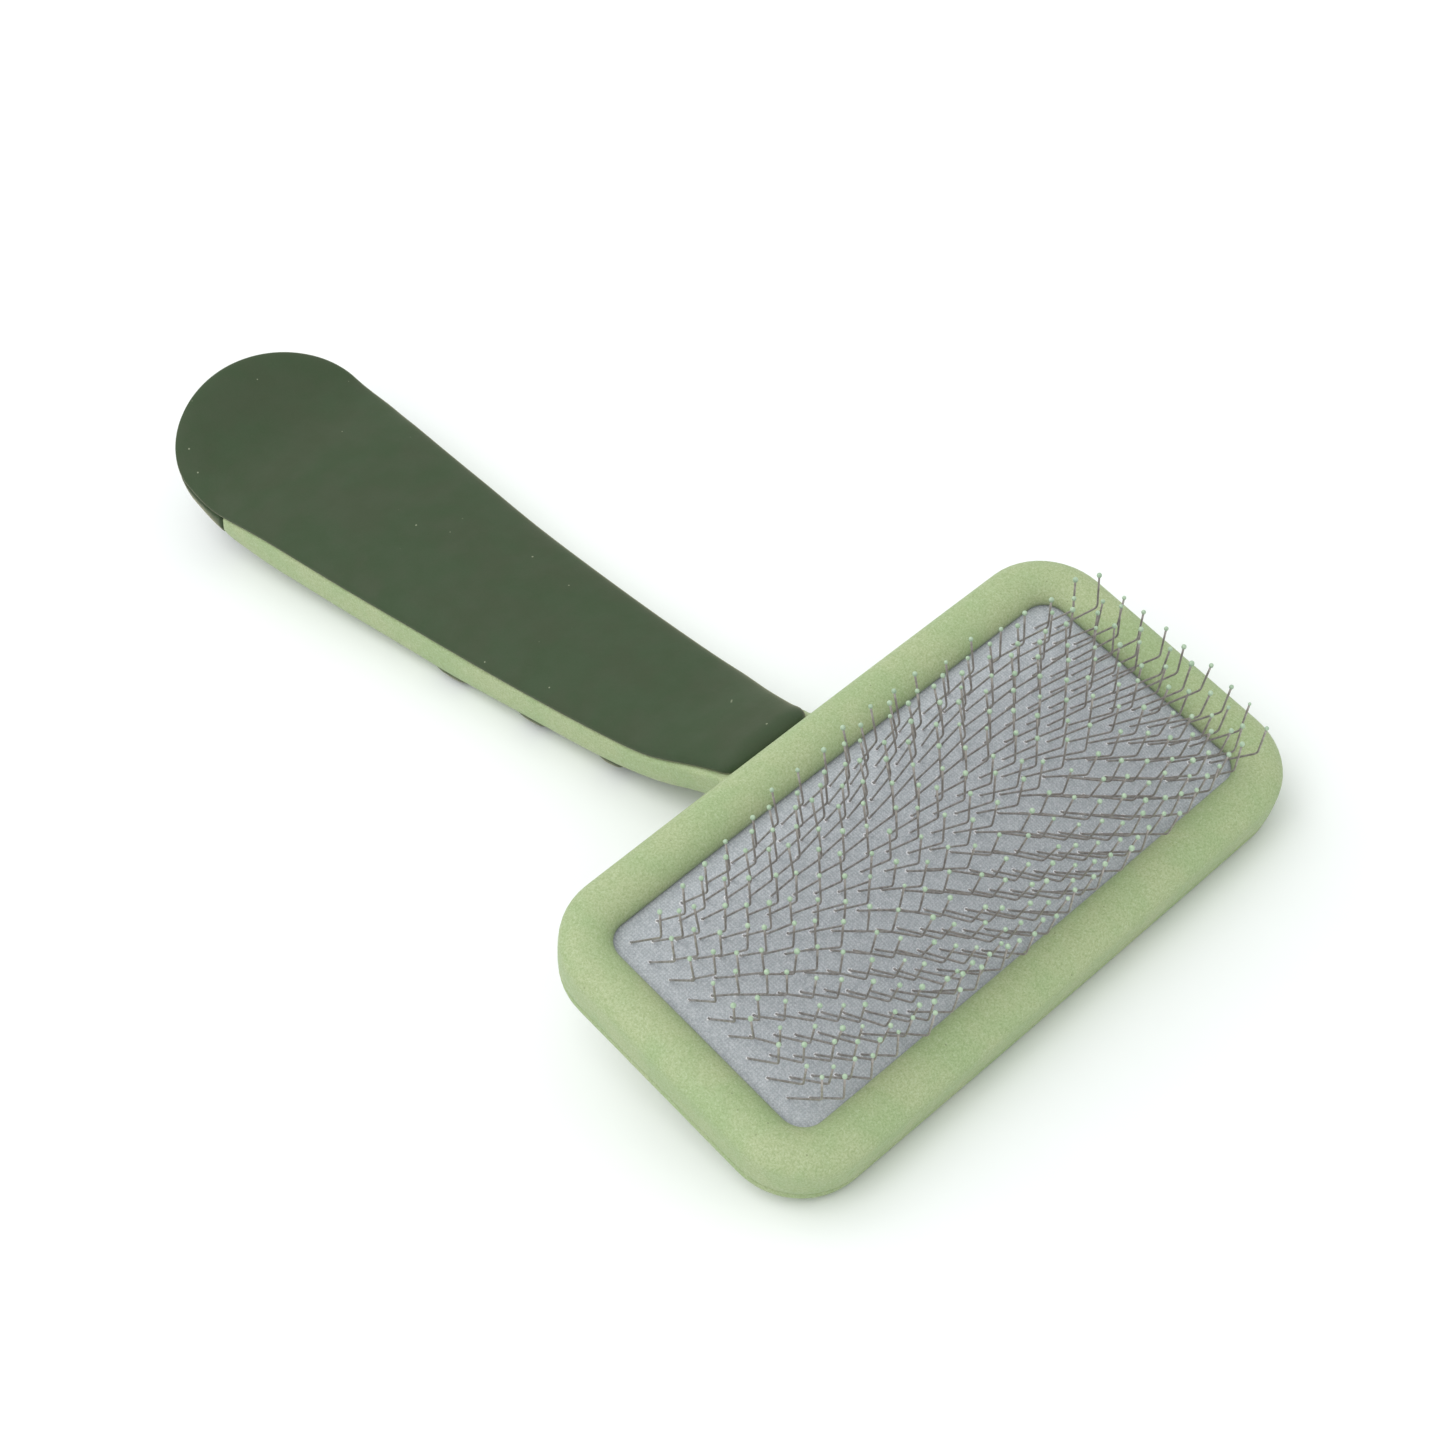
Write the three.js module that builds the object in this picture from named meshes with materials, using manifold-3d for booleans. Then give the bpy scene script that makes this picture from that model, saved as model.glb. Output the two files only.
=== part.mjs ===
// Slicker brush for pets: a rounded rectangular head of bent wire pins on a cushioned pad, held by a
// snap-on bezel, and a flat ergonomic handle with soft grips on its front and back.
// Millimetres, +Z up. The brush lies on its back, pins up: X runs from the handle's tail to the far
// side of the head, Y along the head's long side. The origin is the middle of the base of its box.

import * as THREE from 'three';
import { mergeVertices } from 'three/addons/utils/BufferGeometryUtils.js';
import Module from 'manifold-3d';

const wasm = await Module();
wasm.setup();

// ---------------------------------------------------------------- driving dimensions

const FIT_GAP = 0.3; // clearance between pieces that touch
const HEAD_TILT = THREE.MathUtils.degToRad(18.565); // the head plane falls this much away from the handle
const HEAD_CENTRE = new THREE.Vector3(75.5, 0, 16.555); // middle of the head, on the bezel's widest line

const HEAD_LENGTH = 108; // along Y
const HEAD_WIDTH = 56.2; // along X
const HEAD_CORNER = 11.6; // outer corner radius, in plan
const INNER_CORNER = 3.2; // smallest corner radius of any outline inside the head
const CORNER_STEPS = 6;

const RIM_WIDTH = 7.8; // visible width of the bezel
const RIM_CROWN = 2.4; // height of its rounded top
const RIM_STEPS = 8;
const LIP_UNDERSIDE = -0.45; // underside of the bezel where it holds the cloth down
const SKIRT_WALL = 2.4;
const PARTING = -5.2; // level where the bezel meets the back shell
const PARTING_INSET = 0.15; // draft of the skirt down to there

const SHELL_FLOOR = -7.4; // inside face of the back shell
const UPSTAND_TOP = -2.3; // locating lip of the back shell, inside the bezel's skirt
const UPSTAND_WALL = 0.6;
// Rounded back of the head: how far each ring is drawn in from the head's outline, and its level
const SHELL_BACK = [[0.2, -5.5], [0.3, -6.8], [1.2, -8.2], [3.2, -9.1], [6.5, -9.5], [10, -9.6]];

const CLOTH_EDGE = -0.8; // top of the pin cloth where the bezel holds it
const CLOTH_THICKNESS = 1.2;
const CLOTH_DOME = 2.6; // rise of the cushioned pad's middle
const DOME_POWER = 2.56; // how flat the dome stays along Y
const FOAM_DROP = 1.1; // from the cloth's underside to the foam, where the wires' crowns lie

const ROW_COUNT = 18;
const PINS_PER_ROW = 18;
const ROW_SPACING = 2.0;
const ROW_SHIFT = -0.45; // the field of pins sits slightly nearer the handle
const PIN_SPACING = 4.94;
const WIRE_RADIUS = 0.2;
const KNEE = { lean: 5.6, rise: 9.2 }; // bend of each wire, from where it leaves the cloth
const TIP = { lean: 5.15, rise: 15.38 };
// Each of the next three has a value for the pad's -X half and one for its +X half
const WIRE_TURN = [0.35, 0.26]; // how far the wires fan out across the pad at most, in radians
const WIRE_TURN_AT = [0.7, 0.45]; // where they do so, as a share of the way to the rim
const WIRE_FADE = [1.3, 3]; // power with which the fan closes again towards the pad's short ends
const WIRE_TILT = [0.16, 0.07]; // how far they lean outwards at the pad's -Y and +Y ends, in radians
const WIRE_SWING = [0, 0.5]; // how far they swing outwards there, in plan
const STRIP_WIDTH = 0.4; // the strip that joins one row's wire roots
const STRIP_SINK = 0.1; // how far its top lies below the cloth's face
const STRIP_BELOW = 0.5; // how far it reaches under the cloth
const SLOT_WIDTH = 0.95;

// Handle: X is measured from the head's centre, negative towards the tail, and Z from the table
const TAIL_FOCUS = -165; // where the handle is widest and its round end begins
const TAIL_LENGTH = 12.75;
const TAIL_HALF_WIDTH = 19.1;
const TAIL_POWER = 1.96; // roundness of the tail in plan
const TAIL_STEPS = 9;
const TAIL_START = 0.08; // the tail's first station lies this share of the way round from its tip
const BACK_ROUNDING = 4; // of the back's edges, in plan everywhere and in height along the straight part
const BACK_STEPS = 5;
const DEEP_ROUNDING_END = -163; // towards the tail the rounding takes up the whole depth
const EVEN_ROUNDING_START = -143;
const SEAM_BAND = 0.5; // upright band left between the seam and the deepest rounding
const GRIP_END = -33;
const GRIP_END_ROUNDING = 5;
const GRIP_END_STEPS = [0, 0.35, 0.62, 0.82, 0.94, 1]; // stations round the grip's end
const GRIP_END_FLAT = 0.5; // share of the half width left at the very end
const GRIP_END_MARGIN = 0.9; // the grip's end is this much narrower than the handle, each side
const GRIP_NARROWS = -52; // from here on the grip draws away from the handle's edge
const GRIP_CROWN = 3; // rise of the front grip's face over the seam
const GRIP_EDGE = 0.6; // height of the front grip's edge over the seam
const CROWN_POWER = 2.6; // how flat the grip's face stays across its width
const CROWN_STEPS = [0, 0.03, 0.1, 0.24, 0.45, 0.72]; // rings of its face, as shares drawn in
const NECK_END = -1; // the neck runs on under the back shell to here
const SEAM_X = -156; // where the tail cup of the back grip ends
const SEAM_LEAN = -0.35;
const GRIP_WALL = 2.4;
const OVER_SEAM = 4; // cutting tools rise this far over the seam
const PANEL_MARGIN = 5; // from the handle's edge to the back grip's panel
const PANEL_END = -53;
const PANEL_THICKNESS = 2;
const PANEL_PROUD = 0.05; // the panel stands this far out of the handle's back
const RIBS = [{ x: -101, length: 7 }, { x: -81.3, length: 6 }, { x: -62.7, length: 5 }];
const RIB_HEIGHT = 0.8; // ribs stand this far out of the back; the first one lies on the table
const RIB_CLIMB = 1.6; // ribs climb the rounded edges this far over the back
const RIB_DEPTH = 1.2;
const RIB_BED = 3; // each rib's bed is cut this far beyond the handle's skin

// Half width of the handle, and heights of the front grip's seam and of the handle's back, along X.
// The back has a belly at the first rib, and the tail curls up.
const halfWidthLine = [[-165, TAIL_HALF_WIDTH], [-158, 19.4], [-150, 18.7], [-140, 17.8], [-125, 16.6],
  [-108, 15.1], [-85, 13.5], [-65, 12.1], [-52, 11.1], [-42, 9.9], [-34, 9.6], [-26, 11.2], [-16, 12.2],
  [-8, 10], [NECK_END, 6]];
const seamLine = [[-178, 21.4], [-172, 17.2], [-166, 13.75], [-160, 11.8], [-153, 11.4], [-145, 11.3],
  [-130, 10.5], [-108, 9.65], [-85, 9.6], [-65, 10.35], [-52, 11.65], [-42, 14.2], [-38, 15.3],
  [-34, 16.4], [-26, 17.7], [NECK_END, 17.5]];
const undersideLine = [[-178, 13.2], [-172, 9.2], [-165, 6.1], [-158, 4.3], [-150, 3], [-125, 1.65],
  [-105, RIB_HEIGHT], [-97, RIB_HEIGHT], [-85, 1.3], [-65, 2.2], [-52, 4.2], [-42, 7], [-34, 8.4],
  [-24, 9], [-14, 8.9], [-6, 8.1], [NECK_END, 7.5]];

const SHELL_GREEN = { color: 0xa9bd87, roughness: 0.45, metalness: 0 };
const GRIP_GREEN = { color: 0x4e5d46, roughness: 0.8, metalness: 0 };
const CLOTH_GREY = { color: 0xa7abae, roughness: 0.95, metalness: 0 };
const FOAM_GREY = { color: 0xd8d6cf, roughness: 0.95, metalness: 0 };
const WIRE_STEEL = { color: 0x5d554e, roughness: 0.4, metalness: 0.9 };

// ---------------------------------------------------------------- small tools

const headMatrix = new THREE.Matrix4().makeRotationY(HEAD_TILT).setPosition(HEAD_CENTRE);
const handleMatrix = new THREE.Matrix4().setPosition(HEAD_CENTRE.x, 0, 0);

function curveThrough(points) {
  const curve = new THREE.SplineCurve(points.map(([x, z]) => new THREE.Vector2(x, z)));
  const samples = curve.getPoints(points.length * 12);
  return (x) => {
    const next = samples.findIndex((p) => p.x >= x);
    if (next <= 0) return next === 0 ? samples[0].y : samples.at(-1).y;
    const [a, b] = [samples[next - 1], samples[next]];
    return THREE.MathUtils.mapLinear(x, a.x, b.x, a.y, b.y);
  };
}

const halfWidthAt = curveThrough(halfWidthLine);
const seamAt = curveThrough(seamLine);
const undersideAt = curveThrough(undersideLine);

function toGeometry(vertices, triangles) {
  const geometry = new THREE.BufferGeometry();
  geometry.setAttribute('position', new THREE.Float32BufferAttribute(vertices, 3));
  geometry.setIndex(triangles);
  return geometry;
}

// Turns the faces of a closed geometry outwards
function facingOut(geometry) {
  const position = geometry.getAttribute('position');
  const index = geometry.getIndex().array;
  const [a, b, c] = [new THREE.Vector3(), new THREE.Vector3(), new THREE.Vector3()];
  let volume = 0;
  for (let i = 0; i < index.length; i += 3) {
    a.fromBufferAttribute(position, index[i]);
    b.fromBufferAttribute(position, index[i + 1]);
    c.fromBufferAttribute(position, index[i + 2]);
    volume += a.dot(b.cross(c));
  }
  if (volume < 0) {
    geometry.setIndex(Array.from(index).reverse());
  }
  return geometry;
}

// Ends of a loft: a fan over a convex ring, or rungs across a ring whose points mirror each other in Y
const fanCap = (count) => Array.from({ length: count - 2 }, (_, i) => [0, i + 1, i + 2]);

function ladderCap(count) {
  const rungs = count / 2;
  const triangles = [];
  for (let i = 0; i < rungs - 1; i += 1) {
    const [far, farNext] = [count - 1 - i, count - 2 - i];
    triangles.push([i, i + 1, farNext], [i, farNext, far]);
  }
  return triangles;
}

// Skin over rings with the same number of points; without a cap the last ring joins the first
function loft(rings, cap) {
  const count = rings[0].length;
  const triangles = [];
  const bands = cap ? rings.length - 1 : rings.length;
  for (let k = 0; k < bands; k += 1) {
    const lower = k * count;
    const upper = ((k + 1) % rings.length) * count;
    for (let i = 0; i < count; i += 1) {
      const j = (i + 1) % count;
      triangles.push(lower + i, lower + j, upper + j, lower + i, upper + j, upper + i);
    }
  }
  if (cap) {
    const last = (rings.length - 1) * count;
    for (const [a, b, c] of cap(count)) {
      triangles.push(a, c, b, last + a, last + b, last + c);
    }
  }
  return facingOut(toGeometry(rings.flat().flatMap((p) => [p.x, p.y, p.z]), triangles));
}

function toSolid(geometry, matrix = new THREE.Matrix4()) {
  const bare = geometry.clone().applyMatrix4(matrix);
  bare.deleteAttribute('normal');
  bare.deleteAttribute('uv');
  const merged = mergeVertices(bare, 1e-4);
  return new wasm.Manifold(new wasm.Mesh({
    numProp: 3,
    vertProperties: new Float32Array(merged.getAttribute('position').array),
    triVerts: new Uint32Array(merged.getIndex().array),
  }));
}

function fromSolid(solid) {
  const mesh = solid.getMesh();
  return toGeometry(Array.from(mesh.vertProperties), Array.from(mesh.triVerts));
}

function box(xRange, yRange, zRange) {
  const geometry = new THREE.BoxGeometry(
    xRange[1] - xRange[0], yRange[1] - yRange[0], zRange[1] - zRange[0]);
  const middle = (range) => (range[0] + range[1]) / 2;
  return geometry.translate(middle(xRange), middle(yRange), middle(zRange));
}

function piece(name, geometry, finish) {
  geometry.computeVertexNormals();
  const mesh = new THREE.Mesh(geometry, new THREE.MeshStandardMaterial(finish));
  mesh.name = name;
  return mesh;
}

// ---------------------------------------------------------------- head outlines and pad dome

// The head's outline drawn in by some inset, as a ring at one level
function headRing(inset, level) {
  const radius = Math.max(HEAD_CORNER - inset, INNER_CORNER);
  const cornerX = HEAD_WIDTH / 2 - inset - radius;
  const cornerY = HEAD_LENGTH / 2 - inset - radius;
  const ring = [];
  for (let corner = 0; corner < 4; corner += 1) {
    const [signX, signY] = [[1, 1], [-1, 1], [-1, -1], [1, -1]][corner];
    for (let step = 0; step <= CORNER_STEPS; step += 1) {
      const angle = (corner + step / CORNER_STEPS) * Math.PI / 2;
      const x = signX * cornerX + radius * Math.cos(angle);
      const y = signY * cornerY + radius * Math.sin(angle);
      ring.push(new THREE.Vector3(x, y, level));
    }
  }
  return ring;
}

const headPrism = (inset, low, high) => loft([headRing(inset, low), headRing(inset, high)], fanCap);

const OPENING_X = HEAD_WIDTH / 2 - RIM_WIDTH;
const OPENING_Y = HEAD_LENGTH / 2 - RIM_WIDTH;

// Rise of the cushioned pad over its own edge
function domeAt(x, y) {
  const across = Math.min(Math.abs(x) / OPENING_X, 1);
  const along = Math.min(Math.abs(y) / OPENING_Y, 1);
  return CLOTH_DOME * (1 - across ** 2) * (1 - along ** DOME_POWER);
}

const mirrored = (values) => [...values.map((v) => -v).reverse(), 0, ...values];
const padBreaksX = mirrored([10, 16, OPENING_X, HEAD_WIDTH / 2]);
const padBreaksY = mirrored([24, 38, OPENING_Y, HEAD_LENGTH / 2]);

// A sheet or block whose top follows the pad's dome; each ring is one cross-section along X
function domedBlock(topLevel, bottomAt) {
  const rings = padBreaksY.map((y) => [
    ...padBreaksX.map((x) => new THREE.Vector3(x, y, topLevel + domeAt(x, y))),
    ...padBreaksX.toReversed().map((x) => new THREE.Vector3(x, y, bottomAt(x, y))),
  ]);
  return loft(rings, ladderCap);
}

// ---------------------------------------------------------------- bezel, cloth and foam

function frontBezel() {
  const middle = RIM_WIDTH / 2;
  const rings = [];
  for (let step = 0; step <= RIM_STEPS; step += 1) {
    const angle = Math.PI * step / RIM_STEPS;
    rings.push(headRing(middle - middle * Math.cos(angle), RIM_CROWN * Math.sin(angle)));
  }
  rings.push(headRing(RIM_WIDTH, LIP_UNDERSIDE));
  rings.push(headRing(SKIRT_WALL, LIP_UNDERSIDE));
  rings.push(headRing(SKIRT_WALL, PARTING));
  rings.push(headRing(PARTING_INSET, PARTING));
  return piece('front_bezel', loft(rings), SHELL_GREEN);
}

function pinCloth() {
  const inset = SKIRT_WALL + FIT_GAP;
  const underside = CLOTH_EDGE - CLOTH_THICKNESS;
  const sheet = domedBlock(CLOTH_EDGE, (x, y) => underside + domeAt(x, y));
  const fullHeight = [underside - 1, CLOTH_DOME + 1];
  let solid = toSolid(sheet).intersect(toSolid(headPrism(inset, ...fullHeight)));
  const reach = STRIP_REACH + FIT_GAP;
  for (let row = 0; row < ROW_COUNT; row += 1) {
    const sides = [rowX(row) - SLOT_WIDTH / 2, rowX(row) + SLOT_WIDTH / 2];
    solid = solid.subtract(toSolid(box(sides, [-reach, reach], fullHeight)));
  }
  return piece('pin_cloth', fromSolid(solid), CLOTH_GREY);
}

function cushionFoam() {
  const inset = SKIRT_WALL + UPSTAND_WALL + 2 * FIT_GAP;
  const top = CLOTH_EDGE - CLOTH_THICKNESS - FOAM_DROP;
  const bottom = SHELL_FLOOR + FIT_GAP;
  const block = toSolid(domedBlock(top, () => bottom));
  const solid = block.intersect(toSolid(headPrism(inset, bottom - 1, CLOTH_DOME)));
  return piece('cushion_foam', fromSolid(solid), FOAM_GREY);
}

// ---------------------------------------------------------------- wire pins

const PIN_REACH = PIN_SPACING * (PINS_PER_ROW - 0.5) / 2; // furthest pin from the middle, along Y
const STRIP_REACH = PIN_REACH + 0.5;

const rowX = (row) => (row - (ROW_COUNT - 1) / 2) * ROW_SPACING + ROW_SHIFT;

// Rows alternate by half a spacing, so the pins stand in a staggered pattern
function pinYs(row) {
  const start = -PIN_REACH + (row % 2) * PIN_SPACING / 2;
  return Array.from({ length: PINS_PER_ROW }, (_, i) => start + i * PIN_SPACING);
}

// Three-sided ring round a wire
function wireRing(centre) {
  return [0, 1, 2].map((side) => {
    const angle = side * 2 * Math.PI / 3;
    const offset = new THREE.Vector3(Math.cos(angle), Math.sin(angle), 0);
    return offset.multiplyScalar(WIRE_RADIUS).add(centre);
  });
}

// One bent wire; the wires fan out with the pad's dome, less so towards its short ends,
// where they tilt outwards and, at one end, swing round as well
function wire(x, y) {
  const across = x / OPENING_X;
  const along = y / OPENING_Y;
  const half = across > 0 ? 1 : 0;
  const end = along > 0 ? 1 : 0;
  const fade = 1 - Math.abs(along) ** WIRE_FADE[half];
  const turn = WIRE_TURN[half] * Math.sin((Math.PI / 2) * (across / WIRE_TURN_AT[half])) * fade;
  const ending = along ** 3 * (1 - across ** 2);
  const tilt = WIRE_TILT[end] * ending;
  const swing = WIRE_SWING[end] * ending;
  const foot = new THREE.Vector3(x, y, CLOTH_EDGE + domeAt(x, y));
  const rowLine = new THREE.Vector3(0, 1, 0);
  const acrossLine = new THREE.Vector3(1, 0, 0);
  const upLine = new THREE.Vector3(0, 0, 1);
  const place = ({ lean, rise }) => new THREE.Vector3(lean, 0, rise)
    .applyAxisAngle(rowLine, turn)
    .applyAxisAngle(acrossLine, -tilt)
    .applyAxisAngle(upLine, swing)
    .add(foot);
  const root = foot.clone().add(new THREE.Vector3(0, 0, -2 * WIRE_RADIUS));
  return loft([wireRing(root), wireRing(place(KNEE)), wireRing(place(TIP))], fanCap);
}

// The strip of crowns and roots that joins one row's wires; it follows the pad's dome
function rootStrip(x) {
  const half = STRIP_WIDTH / 2;
  const ys = [-STRIP_REACH, ...padBreaksY.filter((y) => Math.abs(y) < STRIP_REACH), STRIP_REACH];
  const rings = ys.map((y) => {
    const high = CLOTH_EDGE + domeAt(x, y) - STRIP_SINK;
    const low = high - CLOTH_THICKNESS - STRIP_BELOW;
    return [[-half, high], [half, high], [half, low], [-half, low]]
      .map(([dx, z]) => new THREE.Vector3(x + dx, y, z));
  });
  return loft(rings, fanCap);
}

function pinRow(row) {
  const x = rowX(row);
  let solid = toSolid(rootStrip(x));
  for (const y of pinYs(row)) {
    solid = solid.add(toSolid(wire(x, y)));
  }
  const name = `pin_row_${String(row + 1).padStart(2, '0')}`;
  return piece(name, fromSolid(solid), WIRE_STEEL);
}

// ---------------------------------------------------------------- handle

const ACROSS = [-30, 30]; // wider than the handle
const HEIGHT = [-2, 30]; // from below the table to above the handle

// Plan of the handle from its tail, as stations on one side. A ring is the plan drawn in towards each
// station's focus: the tail towards one point, the straight part towards the middle line.
function tailStations() {
  return Array.from({ length: TAIL_STEPS }, (_, i) => {
    const angle = THREE.MathUtils.lerp(TAIL_START, 1, i / TAIL_STEPS) * Math.PI / 2;
    const x = TAIL_FOCUS - TAIL_LENGTH * Math.cos(angle) ** (2 / TAIL_POWER);
    const y = TAIL_HALF_WIDTH * Math.sin(angle) ** (2 / TAIL_POWER);
    return { x, y, focus: TAIL_FOCUS, reach: TAIL_HALF_WIDTH };
  });
}

const SIDE_XS = [-165, -160, -156, -150, -143, -130, -116, -105, -97, -84, -74, -64, -56, -50, -46];
const NECK_XS = [-42, -36, -30, -24, -16, -9, NECK_END];

const sideStation = (x) => ({ x, y: halfWidthAt(x), focus: x, reach: halfWidthAt(x) });

function handleStations() {
  return [...tailStations(), ...[...SIDE_XS, ...NECK_XS].map(sideStation)];
}

// The front grip narrows towards the neck, where it ends in a rounded square end
function gripStations() {
  const focus = GRIP_END - GRIP_END_ROUNDING;
  const widthAt = (x) => {
    const share = THREE.MathUtils.clamp((x - GRIP_NARROWS) / (focus - GRIP_NARROWS), 0, 1);
    return halfWidthAt(x) - GRIP_END_MARGIN * share;
  };
  const sides = SIDE_XS.map((x) => ({ x, y: widthAt(x), focus: x, reach: widthAt(x) }));
  const reach = widthAt(focus);
  const end = GRIP_END_STEPS.map((t) => {
    const y = reach * Math.max(Math.cbrt(1 - t ** 3), GRIP_END_FLAT);
    return { x: focus + GRIP_END_ROUNDING * t, y, focus, reach };
  });
  return [...tailStations(), ...sides, ...end];
}

function planRing(stations, inset, levelAt) {
  const side = stations.map(({ x, y, focus, reach }) => {
    const scale = 1 - inset(reach) / reach;
    const drawnX = focus + (x - focus) * scale;
    return new THREE.Vector3(drawnX, y * scale, levelAt(drawnX));
  });
  const otherSide = side.toReversed().map((p) => new THREE.Vector3(p.x, -p.y, p.z));
  return [...side, ...otherSide];
}

// Height of the back's rounded edge
function roundingAt(x) {
  const depth = seamAt(x) - undersideAt(x) - SEAM_BAND;
  const even = THREE.MathUtils.smoothstep(x, DEEP_ROUNDING_END, EVEN_ROUNDING_START);
  return THREE.MathUtils.lerp(depth, BACK_ROUNDING, even);
}

// The handle below the seam, grown outwards by some amount, with its top at a level above the seam
function lowerHandle(grown, topOffset) {
  const stations = handleStations();
  const rings = [planRing(stations, () => -grown, (x) => seamAt(x) + topOffset)];
  for (let step = 0; step <= BACK_STEPS; step += 1) {
    const angle = (step / BACK_STEPS) * Math.PI / 2;
    const inset = BACK_ROUNDING * (1 - Math.cos(angle)) - grown;
    const levelAt = (x) => undersideAt(x) + roundingAt(x) * (1 - Math.sin(angle)) - grown;
    rings.push(planRing(stations, () => inset, levelAt));
  }
  return toSolid(loft(rings, ladderCap), handleMatrix);
}

// Half space on the tail's side of the slanted seam between handle and tail cup
function tailRegion(shift) {
  const size = 60;
  const region = box([-2 * size, 0], [-size, size], [-size, size]);
  const shear = new THREE.Matrix4().makeShear(0, 0, 0, 0, -SEAM_LEAN, 0);
  const place = new THREE.Matrix4().makeTranslation(SEAM_X + shift, 0, seamAt(SEAM_X));
  return toSolid(region, new THREE.Matrix4().multiplyMatrices(handleMatrix, place.multiply(shear)));
}

// Panel of the back grip, let into the handle's back
function backPanel(grown) {
  const stations = handleStations().filter(({ x }) => x < PANEL_END + 6);
  const offsets = [-PANEL_PROUD - grown, PANEL_THICKNESS + grown];
  const rings = offsets.map((offset) => (
    planRing(stations, () => PANEL_MARGIN - grown, (x) => undersideAt(x) + offset)));
  const solid = toSolid(loft(rings, ladderCap), handleMatrix);
  const keep = box([TAIL_FOCUS - TAIL_LENGTH, PANEL_END + grown], ACROSS, HEIGHT);
  return solid.intersect(toSolid(keep, handleMatrix));
}

// One rib: a band round the handle's back and lower sides, from one depth outside it to one inside
function ribBand({ x, length }, outside, inside, grown) {
  const reach = length / 2 + grown;
  const top = undersideAt(x) + RIB_CLIMB + grown;
  const keep = box([x - reach, x + reach], ACROSS, [HEIGHT[0], top]);
  const band = lowerHandle(outside, 0).subtract(lowerHandle(-inside, OVER_SEAM));
  return band.intersect(toSolid(keep, handleMatrix));
}

function backGrip() {
  const wall = lowerHandle(0, -FIT_GAP / 2).subtract(lowerHandle(-GRIP_WALL, OVER_SEAM));
  let solid = wall.intersect(tailRegion(0)).add(backPanel(0));
  for (const rib of RIBS) {
    solid = solid.add(ribBand(rib, RIB_HEIGHT, RIB_DEPTH, 0));
  }
  return piece('back_grip', fromSolid(solid), GRIP_GREEN);
}

function frontGrip() {
  const stations = gripStations();
  const rings = [planRing(stations, () => 0, (x) => seamAt(x) + FIT_GAP / 2)];
  for (const drawn of CROWN_STEPS) {
    const fullness = (1 - (1 - drawn) ** CROWN_POWER) ** (1 / CROWN_POWER);
    const height = GRIP_EDGE + (GRIP_CROWN - GRIP_EDGE) * fullness;
    rings.push(planRing(stations, (reach) => drawn * reach, (x) => seamAt(x) + height));
  }
  return piece('front_grip', loft(rings, ladderCap).applyMatrix4(handleMatrix), GRIP_GREEN);
}

// Core of the handle, with the beds that hold the back grip
function handleCore() {
  const outer = lowerHandle(0, -FIT_GAP / 2).subtract(tailRegion(FIT_GAP));
  const tongue = lowerHandle(-GRIP_WALL - FIT_GAP, OVER_SEAM).intersect(lowerHandle(0, -FIT_GAP / 2));
  let solid = outer.add(tongue).subtract(backPanel(FIT_GAP));
  for (const rib of RIBS) {
    solid = solid.subtract(ribBand(rib, RIB_BED, RIB_DEPTH + FIT_GAP, FIT_GAP));
  }
  return solid;
}

// Back shell of the head and core of the handle, one moulding
function handleBody() {
  const inHead = (geometry) => toSolid(geometry, headMatrix);
  const above = 30;
  const wallInset = SKIRT_WALL + FIT_GAP;
  const roomForBezel = box([-HEAD_WIDTH / 2 - 1, above], [-above, above], [PARTING - FIT_GAP, above]);
  const shell = loft(SHELL_BACK.map(([inset, level]) => headRing(inset, level)), fanCap);
  const solid = handleCore()
    .subtract(inHead(roomForBezel))
    .add(inHead(shell))
    .add(inHead(headPrism(wallInset, PARTING - 1, UPSTAND_TOP)))
    .subtract(inHead(headPrism(wallInset + UPSTAND_WALL, SHELL_FLOOR, above)));
  return piece('handle_body', fromSolid(solid), SHELL_GREEN);
}

// ---------------------------------------------------------------- the brush

const head = new THREE.Group();
head.applyMatrix4(headMatrix);
head.add(frontBezel(), pinCloth(), cushionFoam());
for (let row = 0; row < ROW_COUNT; row += 1) {
  head.add(pinRow(row));
}

const brush = new THREE.Group();
brush.add(handleBody(), frontGrip(), backGrip(), head);

export default brush;
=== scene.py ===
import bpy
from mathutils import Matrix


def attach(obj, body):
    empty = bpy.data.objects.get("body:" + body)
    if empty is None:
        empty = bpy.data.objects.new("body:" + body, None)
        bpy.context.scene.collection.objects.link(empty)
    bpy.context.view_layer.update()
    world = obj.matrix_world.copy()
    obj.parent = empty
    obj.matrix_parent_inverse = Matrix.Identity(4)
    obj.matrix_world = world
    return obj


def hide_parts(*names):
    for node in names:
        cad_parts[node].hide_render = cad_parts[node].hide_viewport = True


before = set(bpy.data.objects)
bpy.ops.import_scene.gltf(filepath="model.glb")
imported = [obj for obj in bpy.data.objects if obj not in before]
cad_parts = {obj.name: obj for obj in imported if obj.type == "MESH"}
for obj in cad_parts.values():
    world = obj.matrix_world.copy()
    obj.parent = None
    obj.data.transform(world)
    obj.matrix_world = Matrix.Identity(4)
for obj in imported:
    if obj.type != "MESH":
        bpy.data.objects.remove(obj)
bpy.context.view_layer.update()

import math
import random

import bmesh
import bpy
import numpy as np
from mathutils import Matrix, Vector

# Slicker brush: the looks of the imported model. Lengths here are millimetres, as in the CAD source,
# and become metres when a mesh is made. The brush lies on its back: X runs from the handle's tail to
# the far side of the head, Y along the head's long side.

MM = 0.001
rng = random.Random(18)

# ---------------------------------------------------------------- dimensions shared with the CAD

FIT_GAP = 0.3
HEAD_TILT = math.radians(18.565)
HEAD_CENTRE = Vector((75.5, 0, 16.555))
HEAD = Matrix.Translation(HEAD_CENTRE) @ Matrix.Rotation(HEAD_TILT, 4, "Y")
HANDLE = Matrix.Translation((HEAD_CENTRE.x, 0, 0))

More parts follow.
